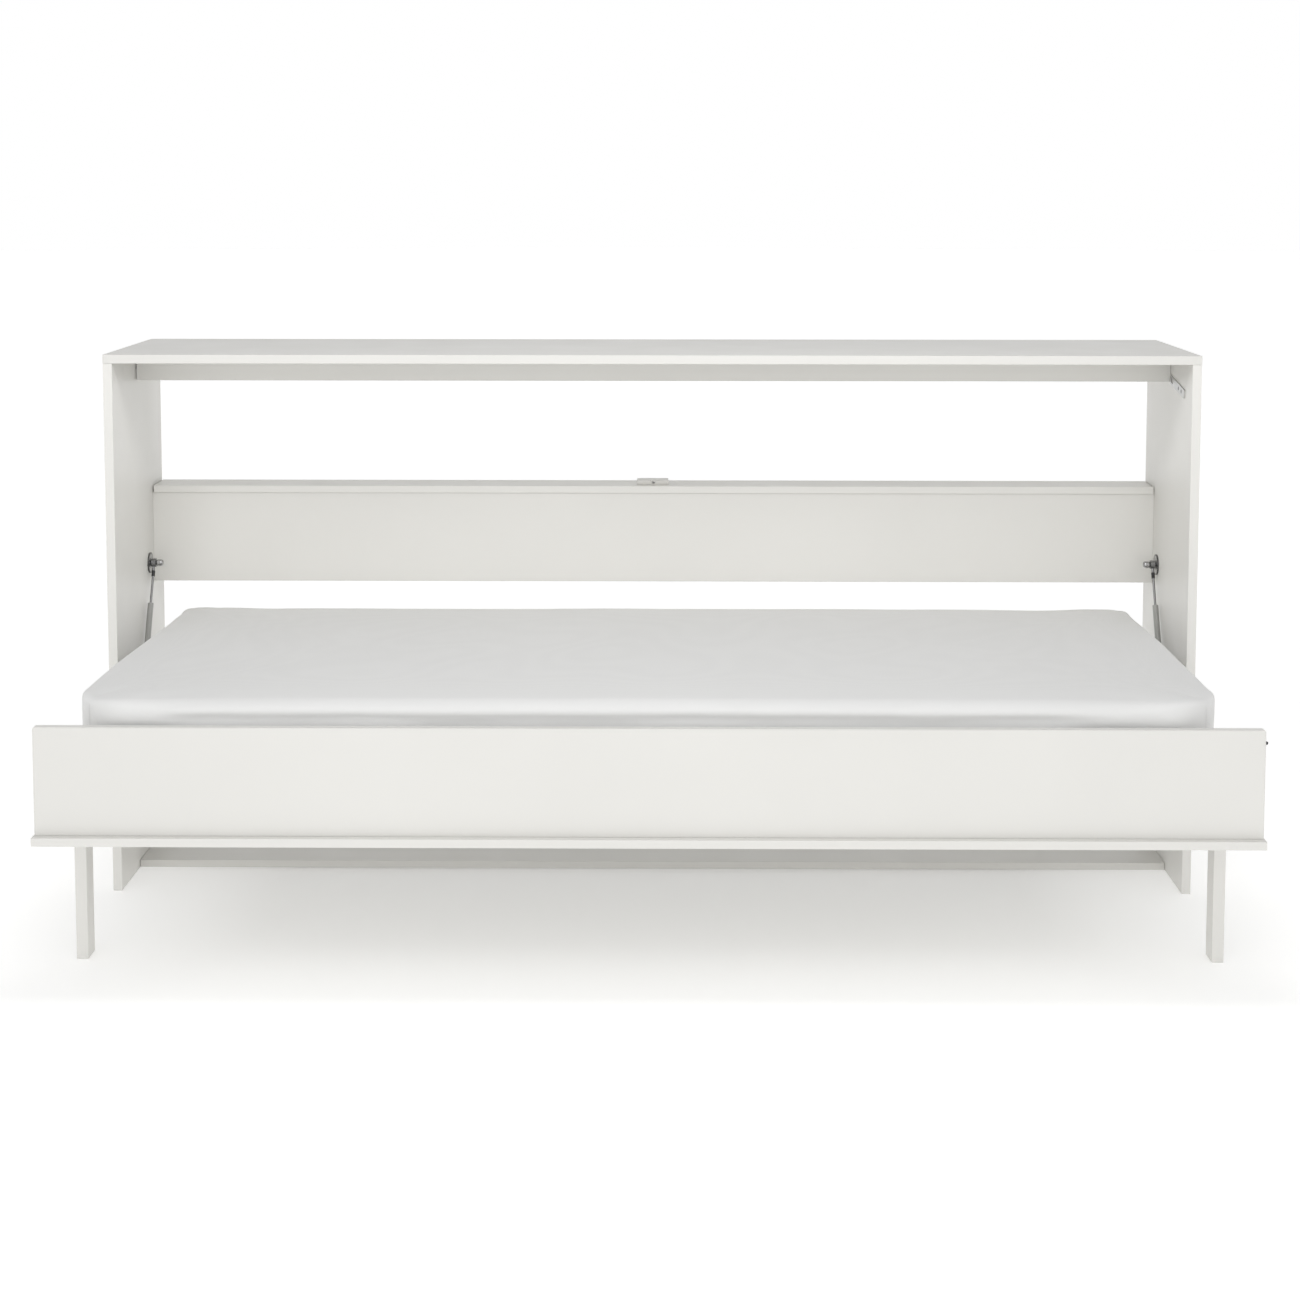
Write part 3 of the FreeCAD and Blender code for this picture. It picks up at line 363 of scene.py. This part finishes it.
# ------------------------------------------------------- mattress and its sheet
def cotton(name, tone, pitch=0.0009, depth=0.00010, seam=None):
    """Plain woven cotton: crossing threads on every face, slubs, corner seams and a slow change of tone."""
    n = Nodes(name)
    warp = n.wave(1.0 / pitch / 2 / math.pi * 3.14159, "X", distort=1.2, detail=1.0)
    weft = n.wave(1.0 / pitch / 2 / math.pi * 3.14159, "Y", distort=1.2, detail=1.0)
    rise = n.wave(1.0 / pitch / 2 / math.pi * 3.14159, "Z", distort=1.2, detail=1.0)
    weave = n.math("ADD", n.math("MULTIPLY", warp, weft), rise)
    slub = n.noise(160.0, 3.0, 0.6, vector=n.stretch((1.0, 9.0, 4.0)))
    slow = n.noise(3.0, 3.0, 0.55)
    crumple = n.noise(14.0, 4.0, 0.55, distort=0.4)
    colour = n.mix(n.span(slow, 0.3, 0.7, 0.0, 1.0), tuple(c * 0.985 for c in tone), tone)
    colour = n.mix(n.span(weave, 0.2, 1.4, 0.10, 0.0), colour, tuple(c * 0.80 for c in tone))
    colour = n.mix(n.span(slub, 0.55, 0.8, 0.0, 0.12), colour, tuple(c * 0.90 for c in tone))
    normal = n.bump(crumple, 0.0012, 0.35)
    normal = n.bump(slub, 0.00015, 0.5, under=normal)
    normal = n.bump(weave, depth, 0.6, under=normal)
    if seam is not None:
        # a sewn line runs down each corner, with its stitches
        x, y, z = n.xyz()
        dx = n.math("SUBTRACT", seam[0], n.math("ABSOLUTE", x))
        dy = n.math("SUBTRACT", seam[1], n.math("ABSOLUTE", n.math("SUBTRACT", y, seam[2])))
        off = n.math("ABSOLUTE", n.math("SUBTRACT", dx, dy))
        near = n.math("MULTIPLY", n.span(n.math("MAXIMUM", dx, dy), 0.030, 0.040, 1.0, 0.0), n.span(z, 0.512, 0.520, 1.0, 0.0))
        line = n.math("MULTIPLY", n.span(off, 0.0006, 0.0018, 1.0, 0.0), near)
        stitch = n.math("MULTIPLY", n.math("MULTIPLY", n.span(n.math("ABSOLUTE", n.math("SUBTRACT", off, 0.0035)), 0.0003, 0.0007, 1.0, 0.0),
                                           n.span(n.wave(1.0 / 0.003 / 2, "Z"), 0.3, 0.5, 0.0, 1.0)), near)
        colour = n.mix(n.math("MULTIPLY", line, 0.35), colour, tuple(c * 0.6 for c in tone))
        colour = n.mix(n.math("MULTIPLY", stitch, 0.25), colour, tuple(c * 0.75 for c in tone))
        normal = n.bump(n.math("SUBTRACT", 1.0, n.math("MAXIMUM", line, n.math("MULTIPLY", stitch, 0.6))), 0.0008, 0.8, under=normal)
    mat = n.out(colour, n.span(slub, 0.3, 0.7, 0.78, 0.90), normal, IOR=1.45)
    n.bsdf.inputs["Sheen Weight"].default_value = 0.15
    n.bsdf.inputs["Sheen Roughness"].default_value = 0.5
    return mat


def ticks(lo, hi, zones, coarse):
    """Grid lines from lo to hi, close together near both ends: zones hold (depth, step)."""
    outer, at = [0.0], 0.0
    for depth, step in zones:
        k = max(1, int(round((depth - at) / step)))
        outer += list(np.linspace(at, depth, k + 1)[1:])
        at = depth
    m = max(1, int(round((hi - lo - 2 * at) / coarse)))
    middle = np.linspace(lo + at, hi - at, m + 1)[1:-1]
    return np.concatenate([lo + np.array(outer), middle, hi - np.array(outer[::-1])])


def rounded_slab(name, lo, hi, corner, edge):
    """A closed slab with round corners in plan and rolled top and bottom edges, as an ordered grid."""
    bm = bmesh.new()
    plan_zones = ((0.024, 0.004), (0.115, 0.0085))
    lines = [ticks(lo[0], hi[0], plan_zones, 0.020), ticks(lo[1], hi[1], plan_zones, 0.020),
             ticks(lo[2], hi[2], ((0.028, 0.004),), 0.009)]
    nx, ny, nz = [len(t) - 1 for t in lines]
    verts = {}

    def vert(i, j, k):
        key = (i, j, k)
        if key not in verts:
            verts[key] = bm.verts.new((lines[0][i], lines[1][j], lines[2][k]))
        return verts[key]

    for k in (0, nz):
        for i in range(nx):
            for j in range(ny):
                q = [vert(i, j, k), vert(i + 1, j, k), vert(i + 1, j + 1, k), vert(i, j + 1, k)]
                bm.faces.new(q if k else q[::-1])
    for j in (0, ny):
        for i in range(nx):
            for k in range(nz):
                q = [vert(i, j, k), vert(i + 1, j, k), vert(i + 1, j, k + 1), vert(i, j, k + 1)]
                bm.faces.new(q[::-1] if j else q)
    for i in (0, nx):
        for j in range(ny):
            for k in range(nz):
                q = [vert(i, j, k), vert(i, j + 1, k), vert(i, j + 1, k + 1), vert(i, j, k + 1)]
                bm.faces.new(q if i else q[::-1])
    bm.verts.ensure_lookup_table()
    half = (np.array(hi) - np.array(lo)) / 2
    mid = (np.array(hi) + np.array(lo)) / 2
    p = np.array([v.co[:] for v in bm.verts]) - mid
    sign, q = np.sign(p), np.abs(p)
    # plan: square rings round each corner's centre become round ones
    corner = corner(p)
    inner = half[:2] - corner[:, None]
    d = np.maximum(q[:, :2] - inner, 0.0)
    far, length = d.max(axis=1), np.hypot(d[:, 0], d[:, 1])
    q[:, :2] = np.minimum(q[:, :2], inner) + d * np.where(length > 1e-9, far / np.maximum(length, 1e-9), 1.0)[:, None]
    # edges: the same again between distance in from the outline and height
    d = np.maximum(q[:, :2] - inner, 0.0)
    length = np.hypot(d[:, 0], d[:, 1])
    ring = (d > 0).all(axis=1)
    plan = np.where(ring, corner - length, (half[:2] - q[:, :2]).min(axis=1))
    flat = (half[0] - q[:, 0] <= half[1] - q[:, 1])
    way = np.where(ring[:, None], d / np.maximum(length, 1e-9)[:, None], np.stack([flat, ~flat], 1).astype(float))
    edge = edge(p + mid)
    a = np.maximum(edge - plan, 0.0)
    b = np.maximum(q[:, 2] - (half[2] - edge), 0.0)
    norm = np.hypot(a, b)
    s = np.where(norm > 1e-9, np.maximum(a, b) / np.maximum(norm, 1e-9), 1.0)
    q[:, :2] -= way * (a * (1 - s))[:, None]
    q[:, 2] -= b * (1 - s)
    p = sign * q + mid
    for v, co in zip(bm.verts, p):
        v.co = co
    bm.normal_update()
    mesh = bpy.data.meshes.new(name)
    bm.to_mesh(mesh)
    bm.free()
    obj = bpy.data.objects.new(name, mesh)
    scene.collection.objects.link(obj)
    for poly in mesh.polygons:
        poly.use_smooth = True
    return obj


def coords(mesh):
    a = np.empty(len(mesh.vertices) * 3)
    mesh.vertices.foreach_get("co", a)
    return a.reshape(-1, 3)


def set_coords(mesh, a):
    mesh.vertices.foreach_set("co", a.astype(float).ravel())
    mesh.update()


def normals(mesh):
    a = np.empty(len(mesh.vertices) * 3)
    mesh.vertices.foreach_get("normal", a)
    return a.reshape(-1, 3)


def puff(obj, pressure, frames, cap, base_z):
    """Swells a closed mesh as a filled cover, then keeps every point near where it began."""
    start = coords(obj.data).copy()
    mod = obj.modifiers.new("cover", "CLOTH")
    st = mod.settings
    st.use_pressure = True
    st.uniform_pressure_force = pressure
    st.quality = 5
    st.mass = 0.3
    st.tension_stiffness = 18
    st.compression_stiffness = 12
    st.shear_stiffness = 6
    st.bending_stiffness = 1.5
    st.effector_weights.gravity = 0.0
    mod.collision_settings.use_collision = False
    mod.point_cache.frame_start, mod.point_cache.frame_end = 1, frames
    for f in range(1, frames + 1):
        scene.frame_set(f)
    deps = bpy.context.evaluated_depsgraph_get()
    done = obj.evaluated_get(deps)
    new = coords(done.to_mesh()).copy()
    done.to_mesh_clear()
    obj.modifiers.remove(mod)
    scene.frame_set(1)
    move = new - start
    length = np.linalg.norm(move, axis=1)
    move *= np.minimum(1.0, cap / np.maximum(length, 1e-9))[:, None]
    # it rests on the slats, so its underside stays flat
    low = np.clip((start[:, 2] - base_z) / 0.03, 0.0, 1.0)
    move[:, 2] = np.where(move[:, 2] < 0, move[:, 2] * low, move[:, 2])
    set_coords(obj.data, start + move)


def ripple(p, seed, scale):
    """A smooth, repeatable unevenness between -1 and 1."""
    rng = np.random.default_rng(seed)
    total = np.zeros(len(p))
    for k in range(9):
        way = rng.normal(size=3)
        way /= np.linalg.norm(way)
        total += np.sin(p @ way * (2 * math.pi / scale) * rng.uniform(0.6, 1.6) + rng.uniform(0, 2 * math.pi))
    return total / 4.0


def smoothstep(a, b, v):
    t = np.clip((v - a) / (b - a), 0, 1)
    return t * t * (3 - 2 * t)


def make_bedding():
    lo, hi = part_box("mattress")
    lo, hi = [np.array([float(c) for c in v]) for v in (lo, hi)]
    mid, half = (lo + hi) / 2, (hi - lo) / 2

    def corner(p):
        # fuller corners at the front, tighter ones at the back
        return np.where(p[:, 1] > 0, 0.040, np.where(p[:, 0] < 0, 0.095, 0.105))

    def edge(p):
        # crisp at the two ends, softer along the front and back
        crisp = smoothstep(0.78, 0.95, np.abs(p[:, 0] - mid[0]))
        return np.where(p[:, 2] > mid[2], 0.022 - 0.014 * crisp, 0.022)

    core = rounded_slab("mattress_core", [mid[0] - 0.993, lo[1] + 0.003, lo[2]],
                        [mid[0] + 0.991, hi[1] - 0.003, hi[2] - 0.003], corner, edge)
    puff(core, 3.0, 12, 0.005, lo[2])
    p = coords(core.data)
    u = np.clip(np.abs(p[:, 0] - mid[0]) / half[0], 0, 1)
    v = np.clip(np.abs(p[:, 1] - mid[1]) / half[1], 0, 1)
    top = np.clip((p[:, 2] - mid[2]) / half[2], 0, 1)
    p[:, 2] += top * 0.003 * (1 - u ** 4) * (1 - v ** 4)
    p[:, 2] += top * 0.0006 * ripple(p * [1, 1, 0], 5, 0.55)
    p[:, 2] = np.maximum(p[:, 2], lo[2])
    # both ends are drawn in a little towards the back, the left one more
    p[:, 0] += (0.020 * smoothstep(-0.35, 0.36, p[:, 1]) * smoothstep(0.55, 0.98, mid[0] - p[:, 0])
                - 0.006 * smoothstep(0.0, 0.36, p[:, 1]) * smoothstep(0.55, 0.98, p[:, 0] - mid[0]))
    set_coords(core.data, p)

    # the sheet follows the core, a little outside it, and turns in underneath
    sheet_mesh = core.data.copy()
    sheet = bpy.data.objects.new("fitted_sheet", sheet_mesh)
    scene.collection.objects.link(sheet)
    bm = bmesh.new()
    bm.from_mesh(sheet_mesh)
    rim = 0.085
    gone = [f for f in bm.faces if all(w.co.z < lo[2] + 0.004 and abs(w.co.x - mid[0]) < half[0] - rim
                                       and abs(w.co.y - mid[1]) < half[1] - rim for w in f.verts)]
    bmesh.ops.delete(bm, geom=gone, context="FACES")
    bm.to_mesh(sheet_mesh)
    bm.free()
    sheet_mesh.update()
    p, nrm = coords(sheet_mesh), normals(sheet_mesh)
    out = np.full(len(p), 0.0020)
    side = np.clip(1 - np.abs(nrm[:, 2]) * 1.1, 0, 1)
    height = np.clip((p[:, 2] - lo[2]) / (hi[2] - lo[2]), 0, 1)
    for sx in (-1, 1):
        for sy in (-1, 1):
            # gathers fan out of each corner, strongest low on the sides
            cx, cy = mid[0] + sx * half[0], mid[1] + sy * half[1]
            dx, dy = sx * (cx - p[:, 0]), sy * (cy - p[:, 1])
            r = np.hypot(dx, dy)
            turn = np.arctan2(dy - dx, 0.05 + (1 - height) * 0.15)
            out += 0.0018 * np.exp(-r / 0.15) * side * np.sin(turn * 8 + sx * 1.7 + sy * 0.6) * (0.3 + 0.7 * (1 - height))
            # shallow pulls run in over the top from the corner
            along, off = (dx + dy) / math.sqrt(2), (dx - dy) / math.sqrt(2)
            out += 0.0010 * (1 - side) * np.exp(-along / 0.30) * np.exp(-(off / 0.10) ** 2) * np.sin(off * 75 + sx + 2 * sy)
    # the front's upper edge rolls over a shallow hollow just above the rail
    front = np.clip(-nrm[:, 1], 0, 1) ** 2
    run = smoothstep(-0.86, -0.76, p[:, 0]) * (1 - smoothstep(0.66, 0.80, p[:, 0]))
    sway = 0.0012 * np.sin(p[:, 0] * 9.0 + 0.6) + 0.0008 * np.sin(p[:, 0] * 23.0)
    hollow = np.exp(-((p[:, 2] - (0.4955 + sway)) / 0.0080) ** 2)
    roll = np.exp(-((p[:, 2] - 0.513) / 0.010) ** 2)
    out += front * (run * (-0.0052 * hollow + 0.0020 * roll) + (1 - run) * 0.0025 * np.exp(-((p[:, 2] - 0.500) / 0.02) ** 2))
    # one soft crease turns down where that hollow begins at the left
    crease = np.exp(-(((p[:, 0] + 0.845) + (p[:, 2] - 0.512) * 2.2) / 0.016) ** 2) * np.exp(-((p[:, 2] - 0.512) / 0.016) ** 2)
    out += -0.0016 * front * crease
    out += side * 0.0010 * (1 - height) * ripple(p, 11, 0.09)
    out += side * 0.0007 * ripple(p, 17, 0.23)
    out += (1 - side) * 0.0005 * ripple(p, 23, 0.30)
    out = np.maximum(out, -0.0065)
    out = np.where(nrm[:, 2] < -0.6, 0.0, out)
    p = p + nrm * out[:, None]
    p[:, 2] = np.maximum(p[:, 2], lo[2] - 0.0002)
    set_coords(sheet_mesh, p)
    # the core keeps inside the sheet everywhere
    q, qn = coords(core.data), normals(core.data)
    inward = np.where(qn[:, 2] < -0.6, 0.0, 0.0075 * (np.clip(-qn[:, 1], 0, 1) ** 2) * np.exp(-((q[:, 2] - 0.4955) / 0.014) ** 2) + 0.0022)
    set_coords(core.data, q - qn * inward[:, None])
    skin = sheet.modifiers.new("thickness", "SOLIDIFY")
    skin.thickness = 0.0008
    skin.offset = 1.0
    for o in (sheet, core):
        soft = o.modifiers.new("soft", "SUBSURF")
        soft.levels = soft.render_levels = 1
    core.data.materials.append(cotton("ticking", (0.74, 0.74, 0.72), 0.0016, 0.0002))
    sheet.data.materials.append(cotton("sheet_cotton", (0.825, 0.825, 0.817), seam=(0.994, 0.4485, mid[1])))
    for o in (core, sheet):
        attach(o, "bed")
    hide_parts("mattress")
    return core, sheet


make_bedding()


# -------------------------------------------------------------- floor and light
def make_stage():
    bpy.ops.mesh.primitive_circle_add(vertices=96, radius=40.0, fill_type="NGON", location=(0, 0, -0.0005))
    floor = bpy.context.object
    floor.name = "studio_floor"
    n = Nodes("floor_paint_and_glow")
    slow = n.noise(0.6, 3.0, 0.5)
    fine = n.noise(220.0, 3.0, 0.6)
    colour = n.mix(n.span(slow, 0.3, 0.7, 0.0, 1.0), (0.885, 0.885, 0.88), (0.905, 0.905, 0.90))
    x, y, z = n.xyz()
    wide = n.math("SUBTRACT", n.math("ABSOLUTE", x), 1.00)
    deep = n.math("SUBTRACT", n.math("ABSOLUTE", n.math("SUBTRACT", y, 0.05)), 0.50)
    # painted light: the floor glows, least round the bed's footprint and more further out, washing out the bed's shadow
    n.put(n.bsdf.inputs["Emission Strength"], n.span(n.math("SMOOTH_MAX", wide, deep, 0.15), -0.25, 0.32, 0.18, 0.44))
    floor.data.materials.append(n.out(colour, n.span(fine, 0.3, 0.7, 0.6, 0.75), n.bump(fine, 0.0001, 0.2),
                                      Emission_Color=(1.0, 1.0, 1.0, 1.0)))

    world = bpy.data.worlds.new("studio_world")
    scene.world = world
    world.use_nodes = True
    tree = world.node_tree
    back = tree.nodes["Background"]
    way = tree.nodes.new("ShaderNodeTexCoord").outputs["Generated"]
    split = tree.nodes.new("ShaderNodeSeparateXYZ")
    tree.links.new(way, split.inputs[0])

    def calc(kind, u, v):
        node = tree.nodes.new("ShaderNodeMath")
        node.operation = kind
        for socket, value in zip(node.inputs, (u, v)):
            if isinstance(value, float):
                socket.default_value = value
            else:
                tree.links.new(value, socket)
        return node.outputs[0]

    def between(value, a, b, low=0.0, high=1.0):
        node = tree.nodes.new("ShaderNodeMapRange")
        node.interpolation_type = "SMOOTHSTEP"
        tree.links.new(value, node.inputs["Value"])
        for key, v in (("From Min", a), ("From Max", b), ("To Min", low), ("To Max", high)):
            node.inputs[key].default_value = v
        return node.outputs["Result"]

    # a white room: pale walls, a brighter band above the viewer, a dim ceiling
    x, y, z = split.outputs
    flat = calc("MAXIMUM", calc("SQRT", calc("ADD", calc("MULTIPLY", x, x), calc("MULTIPLY", y, y)), 0.0), 0.0001)
    turn = calc("DIVIDE", y, flat)
    behind, ahead = between(turn, 0.35, 0.80), between(turn, -0.35, -0.80)
    low = calc("ADD", calc("ADD", calc("MULTIPLY", behind, -0.08), calc("MULTIPLY", ahead, -0.78)), 1.08)
    middle = calc("ADD", calc("MULTIPLY", ahead, 0.65), 0.64)
    lift, top = between(z, 0.15, 0.45), between(z, 0.55, 0.85)
    light = calc("ADD", low, calc("MULTIPLY", lift, calc("SUBTRACT", middle, low)))
    light = calc("ADD", light, calc("MULTIPLY", top, calc("SUBTRACT", 0.45, light)))
    tree.links.new(light, back.inputs["Strength"])
    back.inputs["Color"].default_value = (1.0, 1.0, 1.0, 1.0)

    def area(name, power, size, place, aim, tall=None):
        lamp = bpy.data.lights.new(name, "AREA")
        lamp.energy = power
        lamp.shape = "RECTANGLE"
        lamp.size, lamp.size_y = size, tall or size
        obj = bpy.data.objects.new(name, lamp)
        scene.collection.objects.link(obj)
        obj.location = place
        obj.rotation_euler = (Vector(aim) - Vector(place)).to_track_quat("-Z", "Y").to_euler()

    area("front_soft", 42.0, 5.0, (-0.5, -5.4, 1.30), (0, 0, 0.7), 2.4)
    area("over_bed", 7.0, 1.8, (0, -0.80, 1.95), (0, 0.35, 0.72), 0.4)
    scene.view_settings.view_transform = "Standard"
    scene.view_settings.look = "None"
    scene.view_settings.exposure = 0.0
    scene.view_settings.gamma = 1.0


make_stage()
